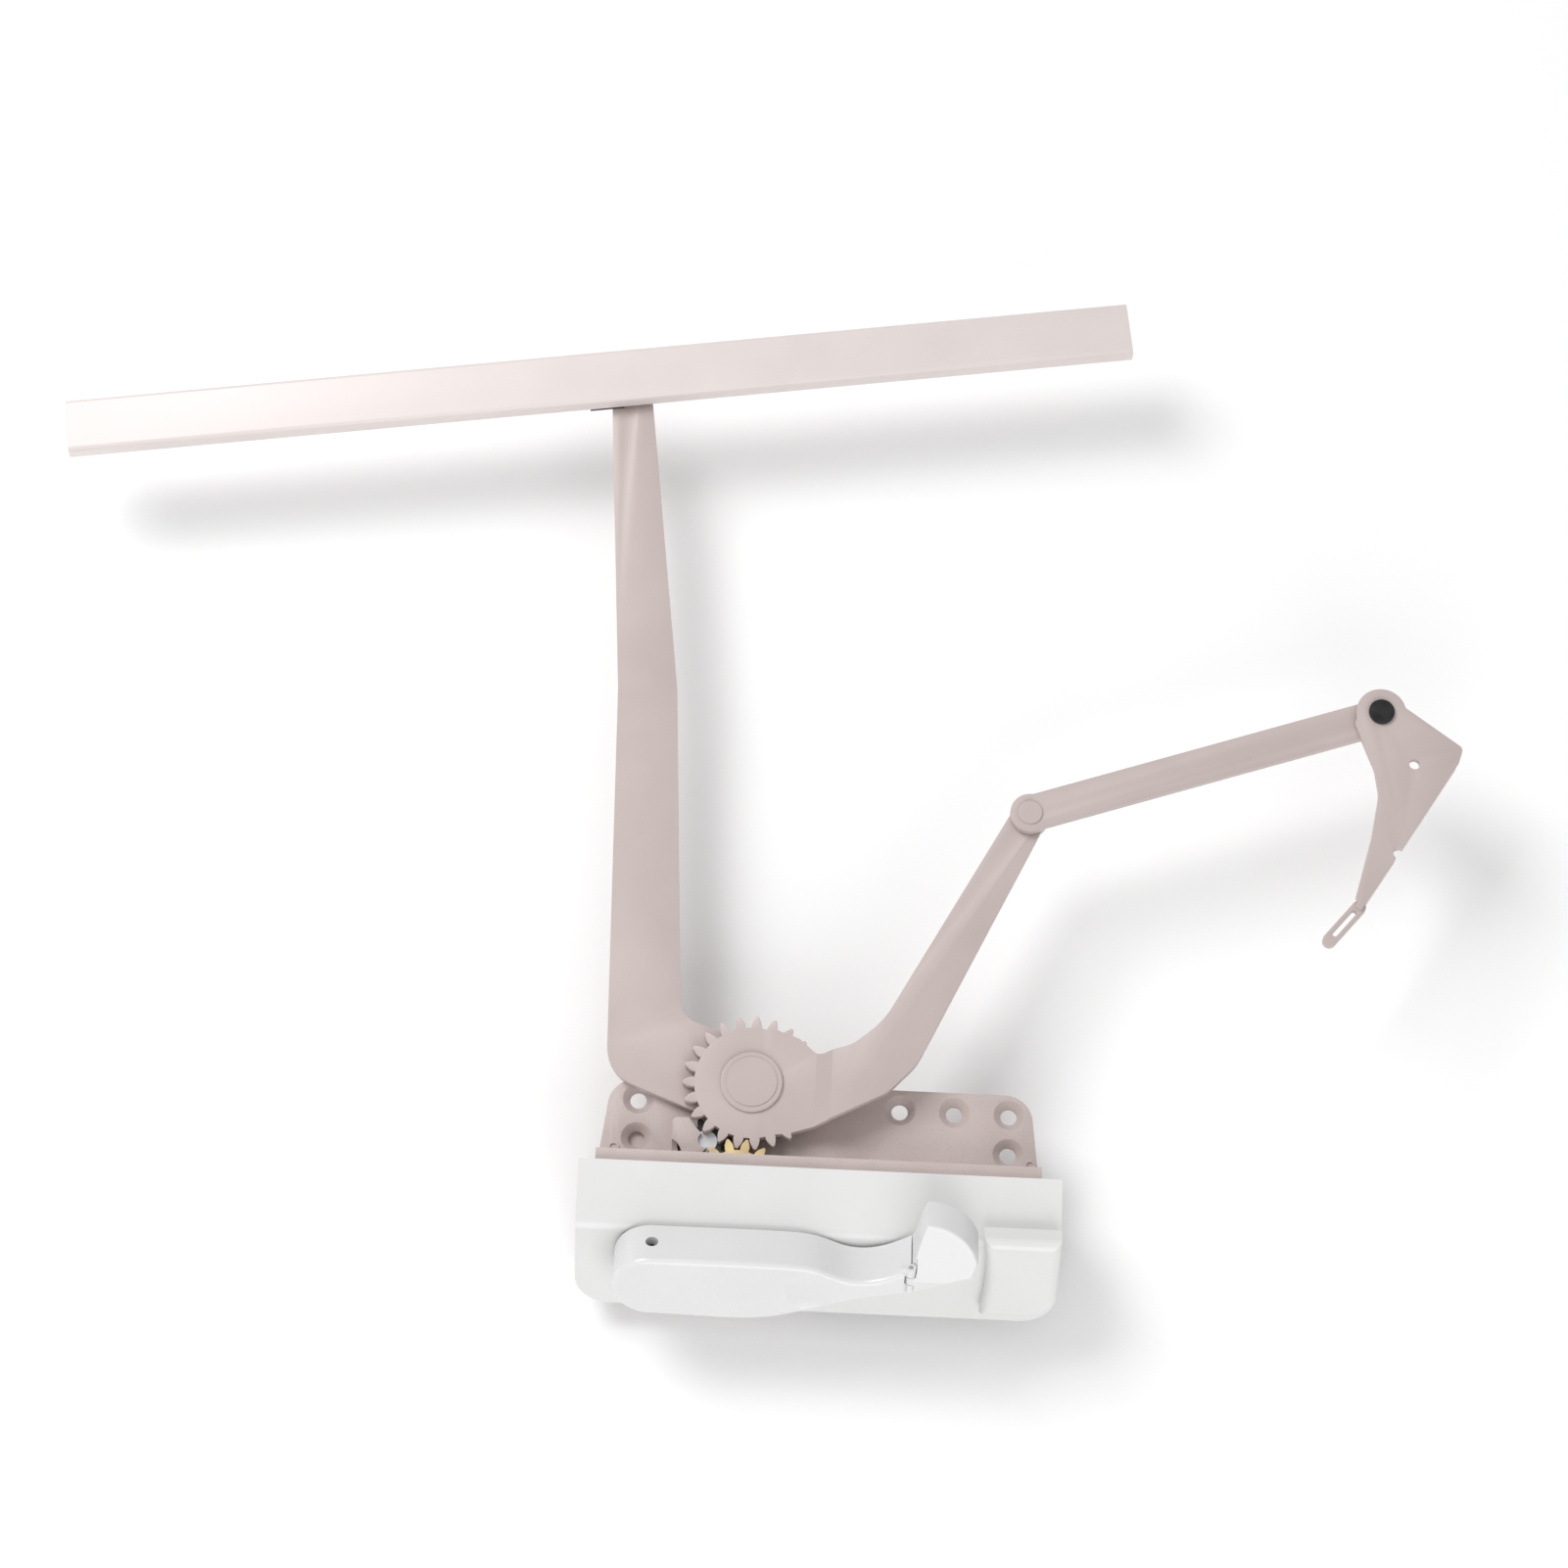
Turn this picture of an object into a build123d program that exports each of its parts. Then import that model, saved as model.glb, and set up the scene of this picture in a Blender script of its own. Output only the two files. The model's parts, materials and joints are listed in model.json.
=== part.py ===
from build123d import *
import math
import os

standing = (Align.CENTER, Align.CENTER, Align.MIN)

# A dual-arm casement window operator: a base that screws to the sill, a crank under a cover, and a gear
# train that swings a long arm and a split arm apart. The long arm's roller runs in a track on the sash.
# Frame: origin at the centre of the four corner screws on the base's underside, +Y outdoors, +Z up.

# ---- driving dimensions, in millimetres ----
screw_dx = 58.4            # corner screw to centre, along X
screw_dy = 6.3             # corner screw to centre, along Y
screw_hole_r = 2.6
sink_r = 4.9
extra_screw_x = (24.0, 41.2)   # two more screws on the rear row
plate_t = 3.2
plate_left = -70.5
plate_right = 68.5
plate_side_in = 3.6        # how far each end leans in from front to rear
plate_rear = 12.8
plate_corner_r = 9.0
wall_rear = -13.0          # rear face of the front wall
wall_t = 4.0
bridge_t = 2.3             # wall left over the pinion's window
slot_left = -41.6
slot_right = -9.5
scoop_r = 5.0              # the round scoops in the front wall
scoop_in = 9.5             # from each corner screw towards the middle
ring_r = 1.8               # the raised rings outside the front corner screws
ring_out = 7.0

pivot_x = -23.0
pivot_y = 11.0
pivot_r = 5.0              # rivet shank of both arms
run_gap = 0.08             # radial clearance of every turning fit
play = 0.1                 # end clearance between stacked pieces
washer_t = 0.5
arm_t = 3.3
rivet_head_r = 9.8
rivet_head_t = 1.0
rivet_cap_r = 8.0
rivet_cap_t = 0.35

arm_module = 1.75          # split arm and upper pinion
arm_teeth = 23
pinion_teeth = 14
low_module = 1.4           # long arm, idler and lower pinion
idler_teeth = 10
pressure = 25.0
backlash = 0.12            # share of the tooth left out
mesh_angle = 264.0         # where the pinion sits, seen from the arm pivot
split_tooth_angle = 71.9   # one tooth of the split arm, open
pinion_pin_r = 3.0
idler_pin_r = 2.5
roof_t = 1.5               # casting over the idler
pinion_hub_r = 7.0         # carries the worm wheel
bridge_gap = 0.4           # pinion teeth clear of the wall above them
lower_tooth_angle = 0.0    # one tooth of the lower pinion

worm_module = 1.2          # normal module
worm_starts = 2
worm_r = 5.0
wheel_teeth = 32
wheel_face = 5.0
worm_half = 7.5
crank_tilt = 30.0          # crank axis above the horizontal
shaft_r = 4.0
journal_r = 3.0
bush_t = 1.5
worm_hand = 1              # right-hand thread
worm_turn = 90.0           # one thread crest, about the shaft
wheel_tooth_angle = 180.0  # one tooth of the wheel faces the worm

long_reach = 245.0         # arm pivot to roller
long_angle = 101.9         # direction of the roller, open
long_step = 2.0            # height of the step in the long arm
long_step_y = 132.0        # where the step starts, from the pivot
long_step_run = 8.0
long_root_w = 22.4
long_end_r = 6.5
split_reach = 124.4        # arm pivot to elbow
split_angle = 47.1
split_step = 4.9
split_step_x = 20.0
split_step_run = 5.0
split_end_r = 6.2
link_reach = 118.0         # elbow to bracket stud
link_angle = 19.0
link_w = 11.5
link_t = 3.0
elbow_r = 3.0
stud_r = 3.2
stud_foot_t = 0.3          # thin enough to pass over the track

track_len = 352.0
track_w = 18.4
track_h = 5.6
track_wall = 1.2
track_slot = 8.0
track_angle = 8.6
track_offset = -10.0       # middle of the track, from the roller, along the track
shoe_len = 29.0            # nylon shoe that slides in the track
shoe_gap = 0.3             # shoe clear of the channel, all round
shoe_lip_t = 1.0
shoe_stud_r = 2.6
stop_len = 5.0             # rubber stop
stop_in = 3.5              # its middle, from the track's end

bracket_t = 2.5
flange_drop = 5.8
bracket_hole_r = 1.7
bracket_hole_x = 10.6      # from the stud
bracket_hole_y = -17.2
flange_t = 2.4

cover_left = -75.5
cover_right = 75.0
cover_wall = 2.0
cover_gap = 0.25
cover_over = 2.2           # the cover's rear edge above the wall
shoulder_y = -38.0
shoulder_fall = 2.3        # from the rear edge down to the shoulder
front_len = 34.0           # length of the sloping front
cover_corner_r = 11.0
shoulder_r = 5.0
raise_t = 6.0              # height of the cover's raised end
pad_root = 1.0             # how far that end runs into the cover's front
pad_lift = 7.0             # its lower edge above the cover's
pad_corner_r = 9.0
knob_clear = 1.8           # between that end and the knob's sweep
hub_drop = 11.0            # crank axis below the shoulder, along the front
box_wall = 2.6
box_floor = -23.0
box_plate_t = 2.0
box_screw_r = 1.6

handle_gap = 1.0           # crank clear of the cover
hub_r = 11.8
handle_t = 15.5
handle_len = 80.0          # crank axis to knob hinge
handle_waist = 9.6         # width of the arm where it meets the knob
handle_rise = 9.2          # middle of the knob hinge above the crank axis
knob_len = 20.5
knob_flare = 29.0          # top of the knob above the crank axis
knob_slope = 0.24          # how fast the knob's face falls towards its top
knuckle_r = 1.6
hinge_pin_r = 0.8
hinge_room = 0.3           # around the knuckles
edge_r = 1.6
set_screw_r = 2.0
set_screw_u = 0.0
hub_rise = 1.4             # middle of the hub above the crank axis

# ---- levels and places that follow from them ----
sin_t = math.sin(math.radians(crank_tilt))
cos_t = math.cos(math.radians(crank_tilt))
wall_front = wall_rear - wall_t
long_z = plate_t + washer_t
long_top = long_z + arm_t
split_z = long_top + washer_t
split_top = split_z + arm_t
roller_level = long_z + long_step + arm_t
track_z = roller_level + shoe_lip_t + 2 * play
split_end_z = split_z + split_step
idler_head = split_z + 0.2
split_end_top = split_end_z + arm_t
link_z = split_end_top + washer_t
link_top = link_z + link_t
bracket_z = link_top + washer_t
bracket_top = bracket_z + bracket_t
shoe_z = track_z + track_wall + shoe_gap
shoe_top = track_z + track_h - track_wall - shoe_gap
bridge_z = split_top + play + bridge_gap
wall_top = bridge_z + bridge_t
cover_top = wall_top + cover_over
shoulder_z = cover_top - shoulder_fall


def polar(distance, angle):
    """X and Y of a point at a distance and an angle in degrees."""
    turn = math.radians(angle)
    return distance * math.cos(turn), distance * math.sin(turn)


def from_pivot(distance, angle):
    """A point given from the arm pivot."""
    dx, dy = polar(distance, angle)
    return pivot_x + dx, pivot_y + dy


def meshing_tooth(line_angle, first_tooth, teeth, other_teeth):
    """The angle of a tooth of the other gear that meshes across a line of centres."""
    share = (line_angle - first_tooth) * teeth / 360
    return line_angle + 180 - (0.5 - share) * 360 / other_teeth


arm_pitch_r = arm_module * arm_teeth / 2
pinion_pitch_r = arm_module * pinion_teeth / 2
mesh_distance = arm_pitch_r + pinion_pitch_r
low_arm_r = low_module * arm_teeth / 2
low_pinion_r = low_module * pinion_teeth / 2
idler_pitch_r = low_module * idler_teeth / 2
pinion_x, pinion_y = from_pivot(mesh_distance, mesh_angle)
idler_far = low_arm_r + idler_pitch_r
idler_near = low_pinion_r + idler_pitch_r
idler_cos = (idler_far**2 + mesh_distance**2 - idler_near**2) / (2 * idler_far * mesh_distance)
idler_angle = mesh_angle - math.degrees(math.acos(idler_cos))
idler_x, idler_y = from_pivot(idler_far, idler_angle)
pinion_tooth_angle = meshing_tooth(mesh_angle, split_tooth_angle, arm_teeth, pinion_teeth)
near_angle = math.degrees(math.atan2(idler_y - pinion_y, idler_x - pinion_x))
idler_tooth_angle = meshing_tooth(near_angle, lower_tooth_angle, pinion_teeth, idler_teeth)
far_angle = math.degrees(math.atan2(pivot_y - idler_y, pivot_x - idler_x))
long_tooth_angle = meshing_tooth(far_angle, idler_tooth_angle, idler_teeth, arm_teeth)

worm_pitch = math.pi * worm_module
worm_lead_angle = math.degrees(math.asin(worm_starts * worm_pitch / (2 * math.pi * worm_r)))
wheel_helix = crank_tilt - worm_lead_angle
wheel_r = wheel_teeth * worm_module / (2 * math.cos(math.radians(wheel_helix)))
worm_axial_pitch = worm_pitch / math.cos(math.radians(worm_lead_angle))
crank_x = pinion_x - wheel_r - worm_r
crank_y = shoulder_y - hub_drop * sin_t
crank_z = shoulder_z - hub_drop * cos_t
worm_depth = (pinion_y - crank_y) / cos_t
wheel_z = crank_z - worm_depth * sin_t
box_left = crank_x - worm_r - worm_module - box_wall - 1.5
box_right = pinion_x + wheel_r + worm_module + box_wall + 0.6
box_rear = pinion_y + wheel_r + worm_module + box_wall + 0.6

roller_x, roller_y = from_pivot(long_reach, long_angle)
elbow_x, elbow_y = from_pivot(split_reach, split_angle)
link_dx, link_dy = polar(link_reach, link_angle)
stud_x = elbow_x + link_dx
stud_y = elbow_y + link_dy

# The crank's own plane: u runs along X, v up the sloping front and w out of it, from the axis.
front_plane = Plane(origin=(crank_x, crank_y, crank_z), x_dir=(1, 0, 0), z_dir=(0, -cos_t, sin_t))


def disc(x, y, z, radius, height):
    """An upright cylinder that stands on z."""
    return Pos(x, y, z) * Cylinder(radius, height, align=standing)


def block(x0, x1, y0, y1, z0, z1):
    """A box between six faces."""
    size = Box(x1 - x0, y1 - y0, z1 - z0, align=(Align.MIN, Align.MIN, Align.MIN))
    return Pos(x0, y0, z0) * size


def prism(points, z, height):
    """A closed outline raised from z by height."""
    outline = make_face(Polyline(*points, close=True))
    return Pos(0, 0, z) * extrude(outline, amount=height, dir=(0, 0, 1))


def corner(solid, x, y, radius):
    """Round the upright edge that stands nearest to x, y."""
    upright = solid.edges().filter_by(Axis.Z)
    nearest = min(upright, key=lambda e: math.hypot(e.center().X - x, e.center().Y - y))
    return fillet(nearest, radius)


def involute(angle):
    """The involute of an angle in radians."""
    return math.tan(angle) - angle


def gear_points(teeth, module, first_tooth, x, y, angle=pressure):
    """The outline of a spur gear with involute flanks, one tooth centred on first_tooth degrees."""
    pitch_r = teeth * module / 2
    base_r = pitch_r * math.cos(math.radians(angle))
    radii = [pitch_r - 1.2 * module, max(base_r, pitch_r - 0.7 * module), pitch_r, pitch_r + 0.9 * module]
    points = []
    for tooth in range(teeth):
        middle = math.radians(first_tooth) + tooth * 2 * math.pi / teeth
        flank = []
        for radius in radii:
            slope = math.acos(min(1.0, base_r / radius))
            half = math.pi / (2 * teeth) * (1 - backlash)
            half += involute(math.radians(angle)) - involute(slope)
            flank.append((radius, half))
        flank[0] = (radii[0], flank[1][1])
        for radius, half in flank:
            points.append((x + radius * math.cos(middle - half), y + radius * math.sin(middle - half)))
        for radius, half in reversed(flank):
            points.append((x + radius * math.cos(middle + half), y + radius * math.sin(middle + half)))
    return points


def base_casting():
    """Sill plate with its front wall, countersunk screw holes and the gearbox below."""
    lean = plate_side_in
    outline = [
        (plate_left, wall_front),
        (plate_right, wall_front),
        (plate_right - lean, plate_rear),
        (plate_left + lean, plate_rear),
    ]
    plate = prism(outline, 0, plate_t)
    plate = corner(plate, plate_right - lean, plate_rear, plate_corner_r)
    plate = corner(plate, plate_left + lean, plate_rear, plate_corner_r)
    plate = plate + disc(pivot_x, pivot_y, 0, rivet_head_r + 3, plate_t)
    wall = block(plate_left, plate_right, wall_front, wall_rear, 0, wall_top)
    plate = plate + wall
    well = block(box_left, box_right, crank_y - 6, box_rear, box_floor, plate_t)
    well = corner(well, box_left, box_rear, 4)
    well = corner(well, box_right, box_rear, 4)
    body = plate + well
    # nothing of the gearbox comes past the inside of the cover's front
    beyond = front_plane * Pos(0, 0, -cover_wall - 0.6) * Box(300, 200, 60, align=standing)
    body = body - beyond
    clear = 0.6
    wheel_room = wheel_z + wheel_face / 2 + clear - box_floor
    body = body - disc(pinion_x, pinion_y, box_floor, wheel_r + worm_module + clear, wheel_room)
    body = body - disc(pinion_x, pinion_y, box_floor, pinion_pitch_r - 1.2 * arm_module, bridge_z - box_floor)
    tunnel = Cylinder(worm_r + worm_module + clear, 2 * worm_half + 1.0)
    body = body - front_plane * Pos(0, 0, -worm_depth) * tunnel
    worm_low = -worm_depth - worm_half
    body = body - axle(shaft_r + bush_t, worm_low, worm_low + 60)
    body = body - axle(journal_r + run_gap, worm_low - 6.5, worm_low + 3.5)
    # the pinion's teeth reach out through a window in the front wall
    body = body - block(slot_left, slot_right, wall_front - 60, wall_rear + 0.01, plate_t, bridge_z)
    body = body + idler_roof()
    body = body - disc(idler_x, idler_y, plate_t, idler_pitch_r + 1.5 * low_module, idler_head - plate_t)
    body = body - disc(pivot_x, pivot_y, plate_t, low_arm_r + 1.5 * low_module, 20)
    body = body - disc(pivot_x, pivot_y, split_z - play, arm_pitch_r + 1.3 * arm_module, 20)
    teeth_room = bridge_z - split_z + play
    body = body - disc(pinion_x, pinion_y, split_z - play, pinion_pitch_r + 1.3 * arm_module, teeth_room)
    lower_room = split_z - plate_t
    body = body - disc(pinion_x, pinion_y, plate_t, low_pinion_r + 1.5 * low_module, lower_room)
    for side in (-1, 1):
        scoop = Pos(side * (screw_dx - scoop_in), wall_rear + 0.5, plate_t + scoop_r) * Sphere(scoop_r)
        body = body - scoop
    panel_y = wall_rear + 1.4
    body = body - block(slot_right + 1.5, slot_right + 22, panel_y, panel_y + 0.6, plate_t - 0.5, plate_t + 5)
    body = body - disc(pivot_x, pivot_y, -1, pivot_r, 20)
    body = body - disc(idler_x, idler_y, -1, idler_pin_r, 20)
    for x, y in screw_places():
        body = body - disc(x, y, -1, screw_hole_r, 20)
        sink_depth = sink_r - screw_hole_r
        sink = Cone(screw_hole_r, sink_r, sink_depth, align=standing)
        sink = Pos(x, y, plate_t - sink_depth) * sink
        body = body - sink
    for side in (-1, 1):
        body = body + relief_ring(side * (screw_dx + ring_out), -screw_dy - ring_out / 2)
    for x, y in box_screw_places():
        body = body - disc(x, y, box_floor - 1, box_screw_r, 9)
    return body


def idler_roof():
    """The pad of the casting that roofs the idler, outside the reach of both gears beside it."""
    reach = idler_pitch_r + 2.6 * low_module
    left = idler_x - reach
    rear = idler_y + idler_pitch_r
    roof = block(left, idler_x + 2, wall_rear - 0.5, rear, plate_t - 0.5, idler_head + roof_t)
    return corner(roof, left, rear, roof_t)


def relief_ring(x, y):
    """The low raised ring outside each front corner screw."""
    return disc(x, y, plate_t, ring_r, 0.5) - disc(x, y, plate_t, 0.6 * ring_r, 2)


def screw_places():
    """The four corner screws and the two more on the rear row."""
    places = [(sx * screw_dx, sy * screw_dy) for sx in (-1, 1) for sy in (-1, 1)]
    return places + [(x, screw_dy) for x in extra_screw_x]


def box_screw_places():
    """The four screws of the gearbox's bottom plate."""
    inset = 2 * box_screw_r + 0.4
    rear = box_rear - inset
    front = crank_y - 1.0
    return [
        (box_left + inset, rear),
        (box_right - inset, rear),
        (box_left + inset + 3, front),
        (box_right - inset, front),
    ]


def gearbox_plate():
    """The plate that closes the gearbox and holds the pinion's pin."""
    plate = block(box_left, box_right, crank_y - 5, box_rear, box_floor - box_plate_t, box_floor)
    plate = plate - disc(pinion_x, pinion_y, box_floor - 10, pinion_pin_r, 20)
    for x, y in box_screw_places():
        plate = plate - disc(x, y, box_floor - 10, box_screw_r, 20)
    return plate


def gearbox_screws():
    """Four round-headed screws under the gearbox plate."""
    screws = []
    for x, y in box_screw_places():
        screw = disc(x, y, box_floor - box_plate_t - 1.4, 2 * box_screw_r, 1.4)
        screw = screw + disc(x, y, box_floor - box_plate_t, box_screw_r, box_plate_t + 6)
        screws.append(screw)
    return screws


def turned(shape, x, y, angle):
    """Turn a shape modelled along +X at the origin to an angle, with its origin at x, y."""
    return Pos(x, y, 0) * Rot(0, 0, angle) * shape


def stepped_band(start, run, low, high, thickness, along):
    """A wide band that steps from one level up to another; an outline cut from it is a joggled arm."""
    reach = 400
    profile = [
        (-reach, low),
        (start, low),
        (start + run, high),
        (reach, high),
        (reach, high + thickness),
        (start + run, high + thickness),
        (start, low + thickness),
        (-reach, low + thickness),
    ]
    plane = Plane.YZ if along == "y" else Plane.XZ
    outline = make_face(Polyline(*profile, close=True))
    return extrude(plane * outline, amount=reach, both=True)


def long_arm():
    """The dog-legged arm: a gear at the pivot, a leg out to the left, then straight to the roller."""
    lean = math.tan(math.radians(2.6))
    bend_x = -34.6
    bend_y = 22.0
    half = long_root_w / 2
    end_x, end_y = polar(long_reach, long_angle)
    step_half = half - 1.6
    step_x = bend_x - (long_step_y - bend_y) * lean
    points = [
        (6.0, -8.0),
        (-16.0, -9.5),
        (bend_x - half, 2.0),
        (step_x - step_half, long_step_y),
        (end_x - long_end_r, end_y),
        (end_x + long_end_r, end_y),
        (step_x + step_half, long_step_y),
        (bend_x + half, bend_y),
        (-4.0, 15.0),
    ]
    outline = prism(points, 0, 40)
    outline = corner(outline, bend_x - half, 2.0, 14)
    outline = corner(outline, bend_x + half, bend_y, 8)
    outline = outline + disc(end_x, end_y, 0, long_end_r, 40)
    low = long_z
    high = long_z + long_step
    arm = outline & stepped_band(long_step_y, long_step_run, low, high, arm_t, "y")
    gear = prism(gear_points(arm_teeth, low_module, long_tooth_angle, 0, 0), long_z, arm_t)
    arm = arm + gear
    arm = arm - disc(0, 0, -1, pivot_r + run_gap, 40)
    arm = arm - disc(end_x, end_y, -1, shoe_stud_r, 40)
    return Pos(pivot_x, pivot_y, 0) * arm


def split_arm():
    """The short arm over the long one: a gear at the pivot, stepped up past its crease."""
    end_x, end_y = polar(split_reach, split_angle)
    points = [
        (-2.0, -17.6),
        (12.0, -16.0),
        (24.0, -12.2),
        (42.5, -2.7),
        (51.5, 7.0),
        (end_x + 5.0, end_y - 2.4),
        (end_x - 5.0, end_y + 2.4),
        (40.5, 20.5),
        (31.0, 12.5),
        (21.0, 9.4),
        (14.5, 15.0),
        (6.0, 18.0),
    ]
    outline = prism(points, 0, 40)
    outline = corner(outline, 42.5, -2.7, 14)
    outline = corner(outline, 51.5, 7.0, 20)
    outline = corner(outline, 40.5, 20.5, 30)
    outline = corner(outline, 31.0, 12.5, 12)
    outline = corner(outline, 21.0, 9.4, 5)
    outline = outline + disc(end_x, end_y, 0, split_end_r, 40)
    band = stepped_band(split_step_x, split_step_run, split_z, split_end_z, arm_t, "x")
    arm = outline & band
    teeth = gear_points(arm_teeth, arm_module, split_tooth_angle, 0, 0)
    arm = arm + prism(teeth, split_z, arm_t)
    arm = arm - disc(0, 0, -1, pivot_r + run_gap, 40)
    arm = arm - disc(end_x, end_y, -1, elbow_r + run_gap, 40)
    return Pos(pivot_x, pivot_y, 0) * arm


def rivet(x, y, foot, shank_r, floor, ceiling, head_r, head_t):
    """A shouldered rivet: a foot below, a plain shank and a domed head."""
    head = disc(x, y, ceiling, head_r, head_t)
    top = head.edges().group_by(Axis.Z)[-1]
    head = fillet(top, head_t * 0.45)
    shank = disc(x, y, floor - foot, shank_r, ceiling - floor + foot)
    return head + shank


def pivot_rivet():
    """The rivet both arms turn on, flush below, with a raised cap in its head."""
    body = rivet(pivot_x, pivot_y, 0, pivot_r, 0, split_top + play, rivet_head_r, rivet_head_t)
    cap_z = split_top + play + rivet_head_t
    return body + disc(pivot_x, pivot_y, cap_z, rivet_cap_r, rivet_cap_t)


def washer(x, y, z, inner_r, outer_r, thickness):
    """A plain washer that lies on z."""
    return disc(x, y, z, outer_r, thickness) - disc(x, y, z - 1, inner_r, thickness + 2)


def drive_pinion():
    """The plated compound gear: teeth for the split arm above, for the idler below, and a hub."""
    upper = gear_points(pinion_teeth, arm_module, pinion_tooth_angle, pinion_x, pinion_y)
    lower = gear_points(pinion_teeth, low_module, lower_tooth_angle, pinion_x, pinion_y)
    gear = prism(upper, split_z, arm_t + play)
    gear = gear + prism(lower, long_z, split_z - long_z)
    hub_floor = wheel_z - wheel_face / 2
    gear = gear + disc(pinion_x, pinion_y, hub_floor, pinion_hub_r, long_z - hub_floor)
    return gear - disc(pinion_x, pinion_y, -60, pinion_pin_r + run_gap, 120)


def worm_wheel():
    """The helical wheel pressed on the pinion's hub."""
    points = gear_points(wheel_teeth, 2 * wheel_r / wheel_teeth, wheel_tooth_angle, 0, 0, 20.0)
    section = make_face(Polyline(*points, close=True))
    twist = math.degrees(wheel_face * math.tan(math.radians(wheel_helix)) / wheel_r)
    start = Rot(0, 0, twist / 2) * section
    up = (0, 0, wheel_face)
    wheel = Solid.extrude_linear_with_rotation(start.face(), (0, 0, 0), up, -twist)
    wheel = Pos(pinion_x, pinion_y, wheel_z - wheel_face / 2) * wheel
    return wheel - disc(pinion_x, pinion_y, -60, pinion_hub_r, 120)


def pin(x, y, z0, z1, radius, head_r, head_t):
    """A fixed pin with a flat head on top."""
    return disc(x, y, z0, radius, z1 - z0) + disc(x, y, z1, head_r, head_t)


def idler_gear():
    """The small gear that turns the drive round to the long arm."""
    points = gear_points(idler_teeth, low_module, idler_tooth_angle, idler_x, idler_y)
    gear = prism(points, long_z, arm_t)
    return gear - disc(idler_x, idler_y, -1, idler_pin_r + run_gap, 20)


def worm_section():
    """The worm cut square to its axis: as many lobes as it has starts."""
    addendum = 0.9 * worm_module
    dedendum = 1.2 * worm_module
    points = []
    lobe = 2 * math.pi / worm_starts
    slope = math.tan(math.radians(20.0)) / math.cos(math.radians(worm_lead_angle))
    for start in range(worm_starts):
        middle = start * lobe
        radii = [worm_r - dedendum, worm_r, worm_r + addendum]
        halves = []
        for radius in radii:
            axial = worm_axial_pitch / 4 * (1 - 1.6 * backlash) - (radius - worm_r) * slope
            halves.append(lobe * axial / worm_axial_pitch)
        for radius, half in zip(radii, halves):
            points.append(polar(radius, math.degrees(middle - half)))
        for radius, half in zip(reversed(radii), reversed(halves)):
            if radius == radii[-1]:
                points.append(polar(radius / math.cos(half / 1.5), math.degrees(middle)))
            points.append(polar(radius, math.degrees(middle + half)))
        valley = middle + lobe / 2
        points.append(polar(radii[0], math.degrees(valley)))
    return make_face(Polyline(*points, close=True))


def axle(radius, low, high):
    """A cylinder on the crank's axis between two distances from the cover's face."""
    return front_plane * Pos(0, 0, low) * Cylinder(radius, high - low, align=standing)


def worm_shaft():
    """The crank's shaft: worm, journals, collar and the splined stub in the handle."""
    length = 2 * worm_half
    lead = worm_axial_pitch * worm_starts
    turn = 360 * length / lead
    section = Rot(0, 0, worm_turn - turn / 2 * worm_hand) * worm_section()
    worm = Solid.extrude_linear_with_rotation(section.face(), (0, 0, 0), (0, 0, length), turn * worm_hand)
    worm = front_plane * Pos(0, 0, -worm_depth - worm_half) * worm
    inner = axle(journal_r, -worm_depth - worm_half - 6, -worm_depth - worm_half)
    outer = axle(shaft_r, -worm_depth + worm_half, handle_gap + handle_t - 4)
    return worm + inner + outer


def shaft_bush():
    """The bush in the gearbox that carries the crank's shaft."""
    low = -worm_depth + worm_half + 1.0
    high = -cover_wall - 1.0
    return axle(shaft_r + bush_t, low, high) - axle(shaft_r + run_gap, low - 1, high + 1)


def cover_body(inset):
    """The cover's outer block, or its hollow when set in by the wall and run out past the rear and below."""
    past_rear = 5 if inset else 0
    reach = front_len + (20 if inset else 0)
    lean = math.atan2(cover_top - shoulder_z, wall_front - cover_gap - shoulder_y)
    rear = wall_front - cover_gap + past_rear
    rear_top = cover_top - inset / math.cos(lean) + past_rear * math.tan(lean)
    half_bend = (math.radians(90 - crank_tilt) - lean) / 2
    shift = inset * math.tan(half_bend)
    bend_y = shoulder_y + shift * math.cos(lean)
    bend_z = shoulder_z - inset / math.cos(lean) + shift * math.sin(lean)
    floor = bend_z - reach * cos_t
    profile = [(rear, rear_top), (bend_y, bend_z), (bend_y - reach * sin_t, floor), (rear, floor)]
    outline = make_face(Polyline(*profile, close=True))
    width = cover_right - cover_left - 2 * inset
    return Pos(cover_left + inset, 0, 0) * extrude(Plane.YZ * outline, amount=width)


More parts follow.
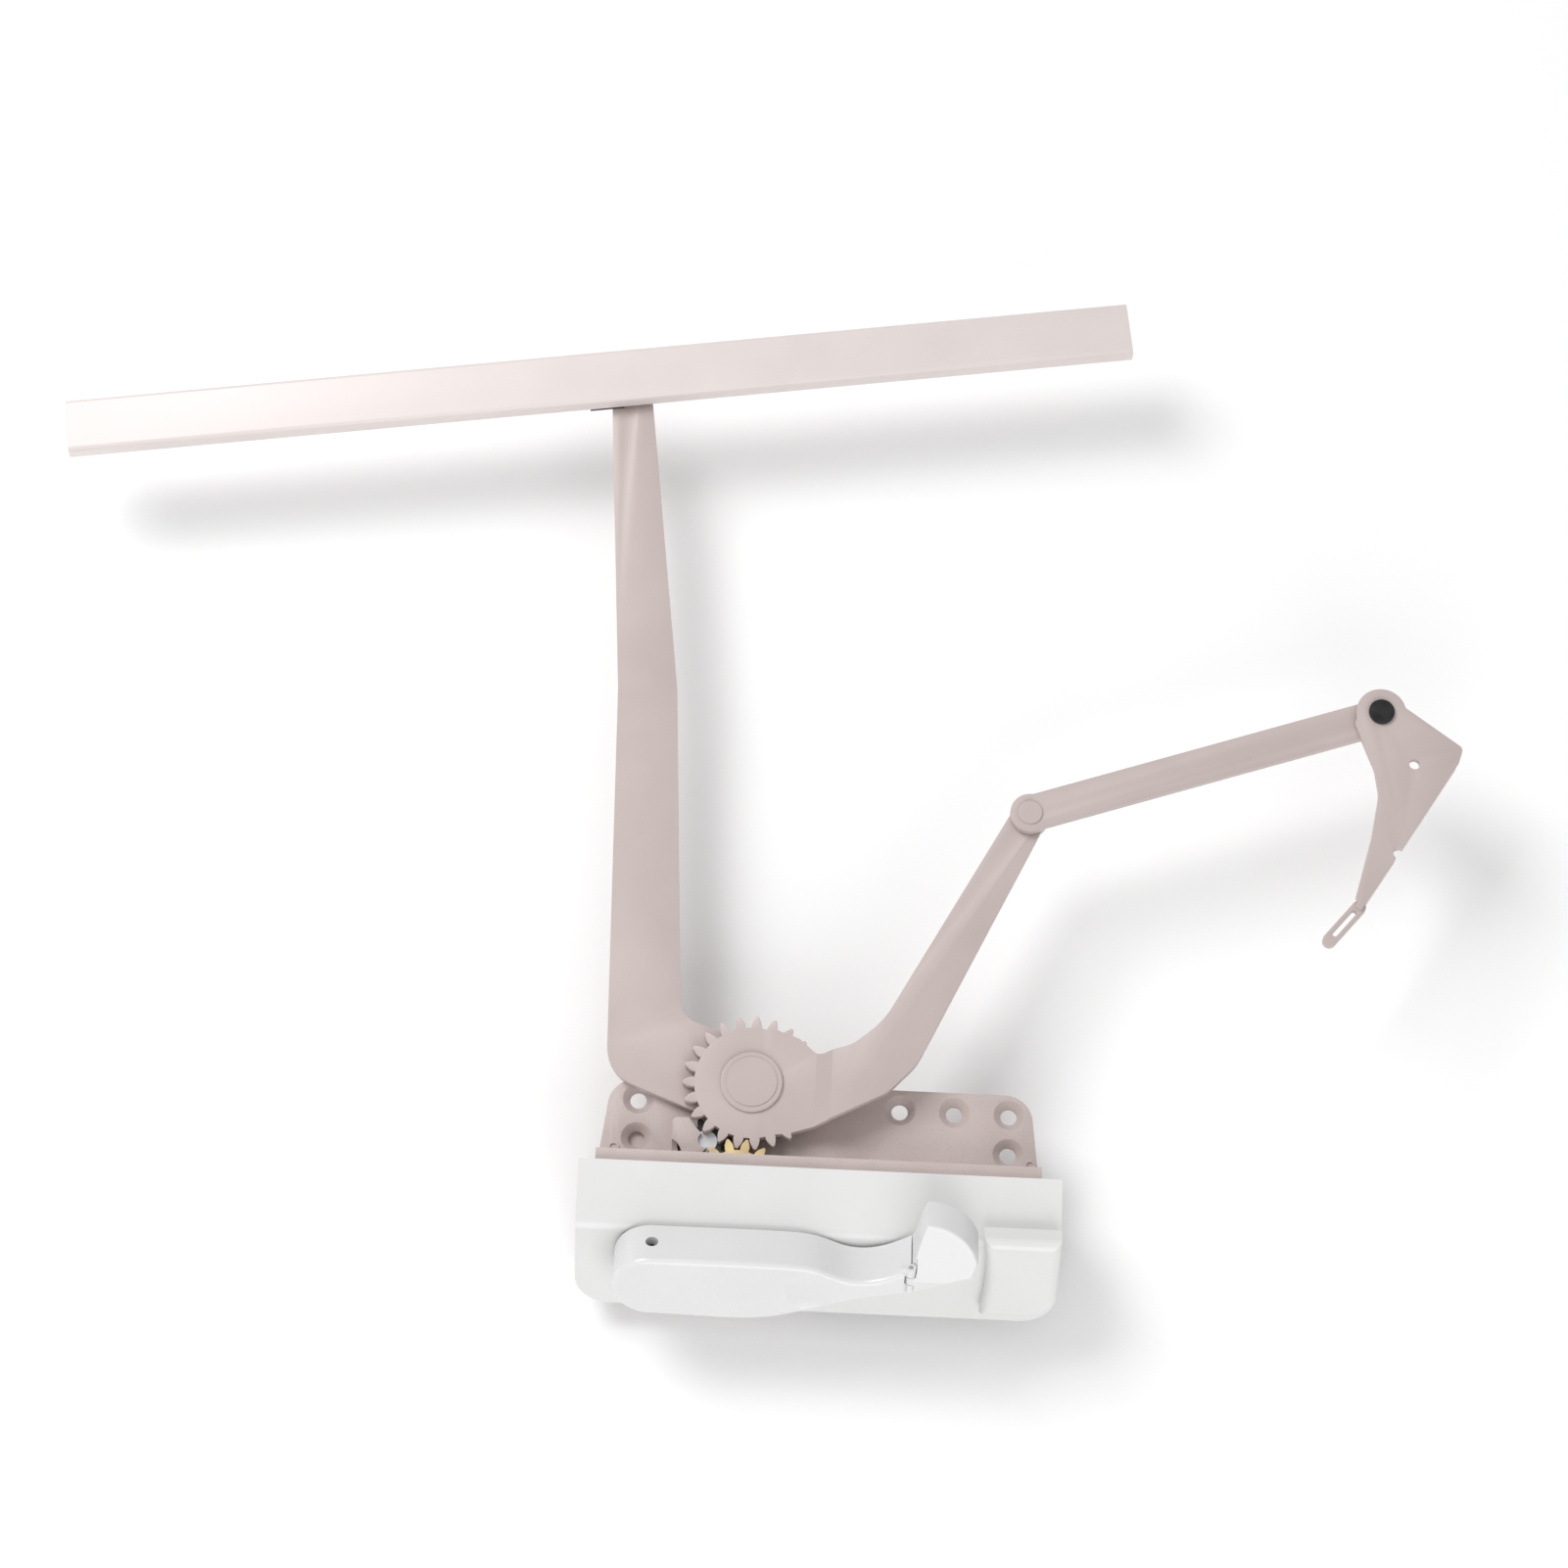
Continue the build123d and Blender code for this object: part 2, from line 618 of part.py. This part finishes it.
def cover():
    """The moulded cover: a shallow top, a sloping front with rounded corners, a raised end, open behind."""
    outer = cover_body(0)
    low = front_len - hub_drop
    middle = (cover_left + cover_right) / 2 - crank_x
    centred = (Align.CENTER, Align.MIN, Align.CENTER)
    trim = Pos(middle, -low, 0) * Box(cover_right - cover_left, 80, 80, align=centred)
    trim = fillet(trim.edges().filter_by(Axis.Z).group_by(Axis.Y)[0], cover_corner_r)
    outer = outer & (front_plane * trim)
    along_x = outer.edges().filter_by(Axis.X)
    bend = Vector(0, shoulder_y, shoulder_z)
    shoulder = min(along_x, key=lambda e: (Vector(0, e.center().Y, e.center().Z) - bend).length)
    outer = fillet(shoulder, shoulder_r)
    outer = outer + raised_end(trim)
    inner_trim = Box(cover_right - cover_left - 2 * cover_wall, 80, 120, align=centred)
    inner_trim = Pos(middle, -low + cover_wall, 0) * inner_trim
    inner_lower = inner_trim.edges().filter_by(Axis.Z).group_by(Axis.Y)[0]
    inner_trim = fillet(inner_lower, cover_corner_r - cover_wall)
    shell = outer - (cover_body(cover_wall) & (front_plane * inner_trim))
    shell = shell - block(cover_left - 1, cover_right + 1, wall_front - cover_gap, wall_front + 60, -80, 80)
    return shell - axle(shaft_r + 1.0, -10, 10)


def raised_end(trim):
    """The end of the cover past the knob, raised to stand level with it."""
    sweep_r = math.hypot(handle_len + knob_len, handle_rise + 8) + knob_clear
    cornered = (Align.MIN, Align.MIN, Align.MIN)
    pad_left = sweep_r / 2
    pad_right = cover_right - crank_x
    low = hub_drop - front_len + pad_lift
    pad = Box(pad_right - pad_left, hub_drop + raise_t - low, raise_t + pad_root, align=cornered)
    pad = Pos(pad_left, low, -pad_root) * pad
    pad = corner(pad, pad_right, low, pad_corner_r)
    pad = pad & trim
    pad = pad - Cylinder(sweep_r, 80)
    top = pad.edges().group_by(Axis.Z)[-1]
    pad = fillet(top, 3.0)
    return front_plane * pad


def hinge_place():
    """The knob hinge: along v, at the front edge of the crank's end."""
    return front_plane * Pos(handle_len, handle_rise, handle_gap + handle_t - knuckle_r) * Rot(90, 0, 0)


def arm_outline():
    """The crank's outline: a round hub, a straight arm and a waist that curves up to the knob."""
    half = handle_waist / 2
    upper = Spline(
        (0, hub_r + hub_rise),
        (handle_len * 0.5, hub_r + hub_rise),
        (handle_len * 0.64, hub_r),
        (handle_len * 0.76, handle_rise - 1.2),
        (handle_len * 0.85, handle_rise - 1.2),
        (handle_len, handle_rise + half),
        tangents=((1, 0), (1, 0.7)),
    )
    lower = Spline(
        (handle_len, handle_rise - half),
        (handle_len * 0.8, -0.2),
        (handle_len * 0.5, hub_rise - hub_r + 1.4),
        (0, hub_rise - hub_r),
        tangents=((-1, -0.45), (-1, 0)),
    )
    end = Line(upper @ 1, lower @ 0)
    back = Line(lower @ 1, upper @ 0)
    return make_face(Wire([upper, end, lower, back]))


def crank_handle():
    """The crank: a round hub and a curved arm that ends in the knuckles of the knob hinge."""
    arm = extrude(arm_outline(), amount=handle_t, dir=(0, 0, 1))
    hub = Pos(0, hub_rise, 0) * Cylinder(hub_r, handle_t, align=standing)
    arm = arm + hub
    rim = arm.edges().group_by(Axis.Z)[-1]
    arm = fillet([e for e in rim if e.center().X < handle_len - 0.5], edge_r)
    dimple = Pos(handle_len * 0.62, 3.0, handle_t + 26) * Sphere(27.2)
    arm = arm - dimple
    arm = front_plane * Pos(0, 0, handle_gap) * arm
    arm = arm - axle(shaft_r, 0, handle_gap + handle_t - 4)
    room = knuckle_r + hinge_room
    arm = arm - hinge_place() * Cylinder(room, 80)
    face_room = Box(2 * room, 80, 2 * room, align=standing)
    arm = arm - front_plane * Pos(handle_len, handle_rise, handle_gap + handle_t - knuckle_r) * face_room
    for side in (-1, 1):
        knuckle = hinge_place() * Pos(0, 0, side * handle_waist / 3) * Cylinder(knuckle_r, handle_waist / 3)
        arm = arm + knuckle
        web_from = handle_rise - side * handle_waist / 3
        web = Box(knuckle_r + 1.5, handle_waist / 3, knuckle_r, align=(Align.MAX, Align.CENTER, Align.CENTER))
        arm = arm + front_plane * Pos(handle_len, web_from, handle_gap + handle_t - knuckle_r) * web
    arm = arm - hinge_place() * Cylinder(hinge_pin_r, 80)
    bore = Cylinder(set_screw_r, hub_r + 8, align=standing)
    place = front_plane * Pos(set_screw_u, 2 * hub_r, handle_gap + handle_t * 0.45) * Rot(90, 0, 0)
    return arm - place * bore


def set_screw():
    """The screw that clamps the crank on its shaft, sunk in the hub."""
    place = Pos(set_screw_u, shaft_r, handle_gap + handle_t * 0.45) * Rot(-90, 0, 0)
    screw = Pos(0, 0, 0.4) * Cylinder(set_screw_r, 5.6, align=standing)
    socket = Pos(0, 0, 4.0) * Cylinder(set_screw_r / 2, 4.0, align=standing)
    return front_plane * place * (screw - socket)


def knob_pin():
    """The hinge pin of the folding knob."""
    return hinge_place() * Cylinder(hinge_pin_r, handle_waist)


def folding_knob():
    """The fan-shaped knob that folds out of the crank's end, thinner towards its top."""
    half = handle_waist / 2
    start = handle_len + 0.3
    tip = handle_len + knob_len
    root_top = (start, handle_rise + half)
    root_low = (start, handle_rise - half)
    peak = (start + 4.0, knob_flare)
    toe = (tip - 1.5, handle_rise + 1.5)
    upper = Spline(root_top, (start + 1.6, handle_rise + half + 6), peak, tangents=((0.5, 1), (0.35, 1)))
    crown = ThreePointArc(peak, (tip - 4.2, knob_flare - 5.2), (tip, handle_rise + 7))
    front = Line((tip, handle_rise + 7), toe)
    lower = Spline(toe, (start + 8, handle_rise - 1.6), root_low, tangents=((-1, -0.25), (-1, -0.35)))
    outline = make_face(Wire([upper, crown, front, lower, Line(root_low, root_top)]))
    fan = extrude(outline, amount=handle_t, dir=(0, 0, 1))
    lean = math.degrees(math.atan(knob_slope))
    fan = fan - Pos(0, handle_rise, handle_t) * Rot(-lean, 0, 0) * Box(400, 400, 60, align=standing)
    face_edges = [e for e in fan.edges() if e.center().Z > handle_t / 2 and e.center().X > start + 2]
    face_edges = [e for e in face_edges if abs(e.tangent_at(0.5).Z) < 0.5]
    fan = fan.fillet(edge_r / 2, face_edges)
    knob = front_plane * Pos(0, 0, handle_gap) * fan
    for side in (-1, 1):
        clear = Cylinder(knuckle_r + hinge_room, handle_waist * 2 / 3 + 0.4)
        knob = knob - hinge_place() * Pos(0, 0, side * handle_waist / 2) * clear
    middle = hinge_place() * Cylinder(knuckle_r, handle_waist / 3 - 0.4)
    web_side = (Align.MIN, Align.CENTER, Align.CENTER)
    web = Box(knuckle_r + 2.0, handle_waist / 3 - 0.4, knuckle_r, align=web_side)
    knob = knob + middle
    knob = knob + front_plane * Pos(handle_len, handle_rise, handle_gap + handle_t - knuckle_r) * web
    return knob - hinge_place() * Cylinder(hinge_pin_r + run_gap, 80)


def shoe_stud():
    """The rivet that carries the shoe on the long arm."""
    return disc(roller_x, roller_y, roller_level - arm_t, shoe_stud_r, shoe_top - roller_level + arm_t)


def track_shoe():
    """The nylon shoe: a block in the channel, a neck in its slot and a lip below on one side."""
    wide = track_w - 2 * track_wall - 2 * shoe_gap
    upper = Pos(0, 0, shoe_z) * Box(shoe_len, wide, shoe_top - shoe_z, align=standing)
    neck_t = shoe_top - roller_level - play
    neck = Pos(0, 0, roller_level + play) * Box(shoe_len, track_slot - 2 * shoe_gap, neck_t, align=standing)
    lip_z = roller_level + play
    lip = block(-shoe_len / 2, -long_end_r / 2, -track_w / 2, track_w / 2, lip_z, track_z - play)
    shoe = upper + neck + lip
    shoe = shoe - disc(0, 0, -1, shoe_stud_r + run_gap, 60)
    return turned(shoe, roller_x, roller_y, track_angle)


def track():
    """The channel on the sash, open below between two lips."""
    body = Box(track_len, track_w, track_h, align=standing)
    long_edges = body.edges().filter_by(Axis.X).group_by(Axis.Z)[-1]
    body = fillet(long_edges, 1.6)
    inside = Box(
        track_len + 2,
        track_w - 2 * track_wall,
        track_h - 2 * track_wall,
        align=standing,
    )
    body = body - Pos(0, 0, track_wall) * inside
    slot = Box(track_len + 2, track_slot, 2 * track_wall, align=standing)
    body = body - Pos(0, 0, -track_wall / 2) * slot
    body = Pos(track_offset, 0, track_z) * body
    return turned(body, roller_x, roller_y, track_angle)


def track_stop():
    """The small rubber stop pressed in one end of the track."""
    snug = 2 * track_wall + 0.2
    body = Box(stop_len, track_w - snug, track_h - snug, align=standing)
    body = Pos(track_offset - track_len / 2 + stop_in, 0, track_z + track_wall) * body
    return turned(body, roller_x, roller_y, track_angle)


def link_arm():
    """The flat link from the elbow to the bracket."""
    half = link_w / 2
    bar = block(0, link_reach, -half, half, link_z, link_top)
    bar = bar + disc(0, 0, link_z, half + 0.6, link_t) + disc(link_reach, 0, link_z, half + 0.6, link_t)
    bar = bar - disc(0, 0, 0, elbow_r, 60) - disc(link_reach, 0, 0, stud_r, 60)
    return turned(bar, elbow_x, elbow_y, link_angle)


def elbow_rivet():
    """The rivet pressed in the link that turns in the split arm's end."""
    body = rivet(elbow_x, elbow_y, 0, elbow_r, split_end_z - 0.6, link_top, elbow_r + 0.9, 0.6)
    return body + disc(elbow_x, elbow_y, split_end_z - 1.4, elbow_r + 1.6, 1.3)


def link_stud():
    """The dark stud on the link that the bracket turns on."""
    body = disc(stud_x, stud_y, link_z - stud_foot_t, stud_r + 1.4, stud_foot_t)
    body = body + disc(stud_x, stud_y, link_z, stud_r, bracket_top + play - link_z)
    return body + disc(stud_x, stud_y, bracket_top + play, stud_r + 0.9, 0.9)


def sash_bracket():
    """The sash bracket: a flat plate, a flange bent down along its long edge, a notch and a slotted ear."""
    points = [
        (-8.4, -4.0),
        (-6.0, 5.0),
        (2.0, 6.0),
        (26.2, -11.0),
        (24.9, -15.8),
        (-6.4, -67.3),
        (-8.0, -62.7),
        (-3.0, -42.1),
        (-0.8, -28.1),
        (-2.1, -19.8),
    ]
    plate = prism(points, bracket_z, bracket_t)
    for x, y, radius in ((26.2, -11.0, 2.0), (-0.8, -28.1, 12.0), (-2.1, -19.8, 10.0)):
        plate = corner(plate, x, y, radius)
    plate = plate + disc(0, 0, bracket_z, stud_r + 4.8, bracket_t)
    edge = math.degrees(math.atan2(-67.3 + 15.8, -6.4 - 24.9))
    run = math.hypot(-67.3 + 15.8, -6.4 - 24.9)
    flange = block(1, run, -flange_t, 0, bracket_top - flange_drop, bracket_top)
    flange = Pos(24.9, -15.8, 0) * Rot(0, 0, edge) * flange
    ear = extrude(SlotOverall(19.0, 4.4), amount=bracket_t)
    ear = ear - extrude(SlotOverall(11.0, 1.6), amount=bracket_t)
    ear = Pos(-11.6, -71.6, bracket_z - 0.8) * Rot(0, 0, edge - 8) * ear
    body = plate + flange + ear
    body = body - disc(0, 0, 0, stud_r + run_gap, 60)
    body = body - disc(bracket_hole_x, bracket_hole_y, 0, bracket_hole_r, 60)
    body = body - disc(6.2, -47.2, 0, 2.5, 60)
    return Pos(stud_x, stud_y, 0) * body


def write(name, shape):
    """Write one sub-part as its own STEP file."""
    export_step(shape, f"parts/{name}.step")


os.makedirs("parts", exist_ok=True)
write("base_casting", base_casting())
write("gearbox_plate", gearbox_plate())
write("gearbox_screws", Compound(children=gearbox_screws()))
write("cover", cover())
write("pivot_rivet", pivot_rivet())
write("lower_washer", washer(pivot_x, pivot_y, plate_t, pivot_r + run_gap, rivet_head_r, washer_t))
write("arm_washer", washer(pivot_x, pivot_y, long_top, pivot_r + run_gap, rivet_head_r, washer_t))
write("long_arm", long_arm())
write("split_arm", split_arm())
write("drive_pinion", drive_pinion())
write("worm_wheel", worm_wheel())
pin_foot = box_floor - box_plate_t
write("pinion_pin", pin(pinion_x, pinion_y, pin_foot, split_top + 0.3, pinion_pin_r, pinion_pin_r + 1, 0.8))
write("idler_gear", idler_gear())
write("idler_pin", pin(idler_x, idler_y, 0, long_top + play, idler_pin_r, idler_pin_r + 1.0, 0.3))
write("worm_shaft", worm_shaft())
write("shaft_bush", shaft_bush())
write("crank_handle", crank_handle())
write("set_screw", set_screw())
write("knob_pin", knob_pin())
write("folding_knob", folding_knob())
write("shoe_stud", shoe_stud())
write("track_shoe", track_shoe())
write("track", track())
write("track_stop", track_stop())
write("elbow_rivet", elbow_rivet())
write("elbow_washer", washer(elbow_x, elbow_y, split_end_top, elbow_r + run_gap, split_end_r - 1, washer_t))
write("link_arm", link_arm())
write("link_stud", link_stud())
write("bracket_washer", washer(stud_x, stud_y, link_top, stud_r + run_gap, stud_r + 3, washer_t))
write("sash_bracket", sash_bracket())
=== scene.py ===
import json
import math

import bpy
import bmesh
from mathutils import Matrix, Vector


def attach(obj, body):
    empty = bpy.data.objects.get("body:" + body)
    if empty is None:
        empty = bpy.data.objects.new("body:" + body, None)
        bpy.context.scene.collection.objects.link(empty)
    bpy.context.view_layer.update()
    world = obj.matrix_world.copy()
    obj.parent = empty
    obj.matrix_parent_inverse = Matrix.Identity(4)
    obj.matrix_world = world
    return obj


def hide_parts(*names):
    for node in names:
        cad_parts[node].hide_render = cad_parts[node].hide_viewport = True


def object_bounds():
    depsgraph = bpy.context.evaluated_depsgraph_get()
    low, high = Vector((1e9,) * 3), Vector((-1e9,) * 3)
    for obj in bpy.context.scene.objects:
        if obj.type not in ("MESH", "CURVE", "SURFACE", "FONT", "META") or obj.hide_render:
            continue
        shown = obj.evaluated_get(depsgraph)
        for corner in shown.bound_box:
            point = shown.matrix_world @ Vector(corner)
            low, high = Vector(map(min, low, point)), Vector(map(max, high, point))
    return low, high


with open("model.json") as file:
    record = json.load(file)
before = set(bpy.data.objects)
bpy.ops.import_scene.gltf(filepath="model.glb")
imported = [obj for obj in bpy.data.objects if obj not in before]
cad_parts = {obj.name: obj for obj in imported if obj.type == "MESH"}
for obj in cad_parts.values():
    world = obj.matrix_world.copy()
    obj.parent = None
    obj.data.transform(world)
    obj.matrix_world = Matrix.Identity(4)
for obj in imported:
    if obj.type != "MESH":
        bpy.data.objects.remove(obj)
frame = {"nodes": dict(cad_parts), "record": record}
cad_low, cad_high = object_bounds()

scene = bpy.context.scene

# The sill base: a zinc die casting with a sprayed taupe coat, countersunk for its screws.
# Every sprayed or moulded finish below is made by this one recipe, with its own grain and tone.


def coat(name, light, dark, rough, grain, depth, mottle=35.0, metal=0.0, gloss=0.0, speck=0.0):
    """A sprayed or moulded finish: slow noise moves the tone between two colours, fine noise gives the
    grain of the skin as bump, and the slow noise also varies the roughness."""
    finish = bpy.data.materials.new(name)
    finish.use_nodes = True
    nodes = finish.node_tree.nodes
    links = finish.node_tree.links
    shader = nodes["Principled BSDF"]
    place = nodes.new("ShaderNodeTexCoord")
    slow = nodes.new("ShaderNodeTexNoise")
    slow.inputs["Scale"].default_value = mottle
    slow.inputs["Detail"].default_value = 3.0
    tone = nodes.new("ShaderNodeValToRGB")
    tone.color_ramp.elements[0].position = 0.32
    tone.color_ramp.elements[0].color = (*dark, 1)
    tone.color_ramp.elements[1].position = 0.68
    tone.color_ramp.elements[1].color = (*light, 1)
    fine = nodes.new("ShaderNodeTexNoise")
    fine.inputs["Scale"].default_value = grain
    fine.inputs["Detail"].default_value = 4.0
    bump = nodes.new("ShaderNodeBump")
    bump.inputs["Strength"].default_value = 0.35
    bump.inputs["Distance"].default_value = depth
    sheen = nodes.new("ShaderNodeMapRange")
    sheen.inputs["From Min"].default_value = 0.3
    sheen.inputs["From Max"].default_value = 0.7
    sheen.inputs["To Min"].default_value = rough - 0.05
    sheen.inputs["To Max"].default_value = rough + 0.06
    for pattern in (slow, fine):
        links.new(place.outputs["Object"], pattern.inputs["Vector"])
    links.new(slow.outputs["Fac"], tone.inputs["Fac"])
    colour = tone.outputs["Color"]
    if speck:
        spots = nodes.new("ShaderNodeTexVoronoi")
        spots.inputs["Scale"].default_value = grain * 0.8
        dots = nodes.new("ShaderNodeMapRange")
        dots.inputs["From Min"].default_value = 0.12
        dots.inputs["From Max"].default_value = 0.3
        dots.inputs["To Min"].default_value = speck
        dots.inputs["To Max"].default_value = 0.0
        mix = nodes.new("ShaderNodeMix")
        mix.data_type = "RGBA"
        mix.inputs["B"].default_value = (*[c * 0.72 for c in dark], 1)
        links.new(place.outputs["Object"], spots.inputs["Vector"])
        links.new(spots.outputs["Distance"], dots.inputs["Value"])
        links.new(dots.outputs["Result"], mix.inputs["Factor"])
        links.new(colour, mix.inputs["A"])
        colour = mix.outputs["Result"]
    links.new(colour, shader.inputs["Base Color"])
    links.new(fine.outputs["Fac"], bump.inputs["Height"])
    links.new(bump.outputs["Normal"], shader.inputs["Normal"])
    links.new(slow.outputs["Fac"], sheen.inputs["Value"])
    links.new(sheen.outputs["Result"], shader.inputs["Roughness"])
    shader.inputs["Metallic"].default_value = metal
    shader.inputs["Coat Weight"].default_value = gloss
    shader.inputs["Coat Roughness"].default_value = 0.18
    return finish


def dress(node, finish):
    """Give a frame node one finish."""
    target = frame["nodes"][node]
    target.data.materials.clear()
    target.data.materials.append(finish)


def eased(node, finish, radius):
    """A copy of a frame node whose sharp edges are rounded by a small radius in metres. It rides on the
    node's body and takes the node's place and material slot."""
    source = frame["nodes"][node]
    work = bmesh.new()
    work.from_mesh(source.data)
    bmesh.ops.remove_doubles(work, verts=work.verts, dist=1e-6)
    bmesh.ops.dissolve_limit(work, angle_limit=math.radians(1.0), verts=work.verts, edges=work.edges)
    mesh = bpy.data.meshes.new(node + "_eased")
    work.to_mesh(mesh)
    work.free()
    piece = bpy.data.objects.new(node + "_eased", mesh)
    scene.collection.objects.link(piece)
    mesh.materials.append(finish)
    edge = piece.modifiers.new("edge", "BEVEL")
    edge.width = radius
    edge.segments = 3
    edge.limit_method = "ANGLE"
    edge.angle_limit = math.radians(40)
    edge.use_clamp_overlap = True
    edge.harden_normals = True
    mesh.shade_smooth()
    body = next(b for b, names in frame["record"]["behaviour"]["bodies"].items() if node in names)
    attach(piece, body)
    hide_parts(node)


casting = coat("casting_taupe", (0.535, 0.450, 0.430), (0.465, 0.390, 0.370), 0.46, 900, 0.00012, speck=0.25)
cast_edge = 0.0003
eased("base_casting", casting, cast_edge)

# The two arms, the link and the bracket are pressed from thick steel strip and sprayed the same taupe,
# a little lighter and smoother than the casting.
taupe = coat("arm_taupe", (0.505, 0.428, 0.410), (0.465, 0.393, 0.377), 0.40, 700, 0.00006, gloss=0.12)
pressed_edge = 0.00035
for stamping in ("long_arm", "split_arm", "link_arm", "sash_bracket"):
    eased(stamping, taupe, pressed_edge)
for head in ("pivot_rivet", "elbow_rivet"):
    dress(head, taupe)

# The sash track is roll-formed from thin strip, so it is the lightest and smoothest of the taupe pieces.
track_coat = coat("track_taupe", (0.70, 0.635, 0.62), (0.665, 0.60, 0.585), 0.38, 600, 0.00004, gloss=0.15)
rolled_edge = 0.0002
eased("track", track_coat, rolled_edge)

# The cover and the crank are white: the cover moulded, the crank a die casting under enamel.
white_mould = coat("cover_white", (0.70, 0.70, 0.695), (0.68, 0.68, 0.675), 0.33, 800, 0.00005, gloss=0.2)
dress("cover", white_mould)
enamel = coat("crank_white", (0.70, 0.70, 0.70), (0.68, 0.68, 0.68), 0.28, 500, 0.00004, gloss=0.35)
dress("crank_handle", enamel)
dress("folding_knob", enamel)

# The pinion is steel under yellow zinc plate, which drifts from straw to a faint pink.
gold = coat("yellow_zinc", (0.86, 0.70, 0.33), (0.78, 0.58, 0.34), 0.30, 1200, 0.00003, mottle=160, metal=0.9)
dress("drive_pinion", gold)

# Steel under bright zinc plate: the worm and its wheel, the pins, the shoe's stud, the washer under the
# arms, and the gearbox plate with its screws.
zinc = coat("bright_zinc", (0.62, 0.62, 0.63), (0.50, 0.50, 0.52), 0.34, 1400, 0.00003, mottle=120, metal=1.0)
for steel in (
    "gearbox_plate",
    "gearbox_screws",
    "lower_washer",
    "pinion_pin",
    "idler_pin",
    "worm_wheel",
    "worm_shaft",
    "knob_pin",
    "shoe_stud",
):
    dress(steel, zinc)

# Small trade pieces: blackened stud, idler and set screw, acetal washers, bronze bush, nylon shoe and
# rubber stop.
soot = (0.050, 0.050, 0.052)
deep_soot = (0.028, 0.028, 0.030)
black = coat("black_oxide", soot, deep_soot, 0.36, 1500, 0.00003, mottle=200, metal=0.7)
dress("link_stud", black)
dress("idler_gear", black)
dress("set_screw", black)
acetal = coat("white_acetal", (0.74, 0.73, 0.70), (0.70, 0.69, 0.66), 0.42, 900, 0.00003)
for ring in ("arm_washer", "elbow_washer", "bracket_washer"):
    dress(ring, acetal)
light_bronze = (0.52, 0.33, 0.16)
dark_bronze = (0.42, 0.26, 0.13)
bronze = coat("sintered_bronze", light_bronze, dark_bronze, 0.5, 2200, 0.00006, mottle=300, metal=1.0)
dress("shaft_bush", bronze)
nylon = coat("black_nylon", (0.030, 0.030, 0.030), (0.020, 0.020, 0.020), 0.45, 900, 0.00004)
dress("track_shoe", nylon)
rubber = coat("stop_rubber", (0.035, 0.035, 0.035), (0.022, 0.022, 0.022), 0.75, 1100, 0.00008)
dress("track_stop", rubber)

# A white floor just under the gearbox screws, which are the lowest pieces, and soft light from two wide
# panels and an even white surround.
floor_mesh = bpy.data.meshes.new("floor")
reach = 4.0
clear_of_screws = 0.0005
level = cad_low[2] - clear_of_screws
floor_mesh.from_pydata(
    [(-reach, -reach, level), (reach, -reach, level), (reach, reach, level), (-reach, reach, level)],
    [],
    [(0, 1, 2, 3)],
)
floor = bpy.data.objects.new("floor", floor_mesh)
scene.collection.objects.link(floor)
floor_coat = coat("floor_white", (0.93, 0.93, 0.93), (0.92, 0.92, 0.92), 0.7, 60, 0.0001, mottle=2)
floor_mesh.materials.append(floor_coat)


def panel(name, at, aim, size, power):
    """A square area light at a point, facing another."""
    lamp = bpy.data.lights.new(name, "AREA")
    lamp.size = size
    lamp.energy = power
    holder = bpy.data.objects.new(name, lamp)
    holder.location = at
    holder.rotation_mode = "QUATERNION"
    holder.rotation_quaternion = (Vector(aim) - Vector(at)).to_track_quat("-Z", "Y")
    scene.collection.objects.link(holder)


panel("key", (-0.8, 0.7, 1.3), (0, 0.1, 0), 0.8, 15)
panel("room", (0.2, -1.5, 0.9), (0, -0.03, 0), 1.4, 15)
world = bpy.data.worlds.new("studio")
scene.world = world
world.use_nodes = True
world.node_tree.nodes["Background"].inputs["Color"].default_value = (1, 1, 1, 1)
world.node_tree.nodes["Background"].inputs["Strength"].default_value = 0.58
scene.view_settings.view_transform = "Standard"

# The camera stands on the room side and looks down at the sill, a little tilted and rolled.
tilt = math.radians(20.0)
roll = math.radians(2.6)
lens_mm = 109.9
sensor_mm = 36.0
ahead = Vector((0, math.sin(tilt), -math.cos(tilt)))
upright = Vector((0, math.cos(tilt), math.sin(tilt)))
side = Vector((1, 0, 0))
right = math.cos(roll) * side + math.sin(roll) * upright
above = -math.sin(roll) * side + math.cos(roll) * upright
camera_data = bpy.data.cameras.new("camera")
camera_data.lens = lens_mm
camera_data.sensor_width = sensor_mm
camera = bpy.data.objects.new("camera", camera_data)
stand = Vector((-0.0171, -0.4141, 1.4536))
turn = Matrix((right, above, -ahead)).transposed().to_4x4()
camera.matrix_world = Matrix.Translation(stand) @ turn
camera_data.clip_start = 0.05
camera_data.clip_end = 20.0
scene.collection.objects.link(camera)
scene.camera = camera
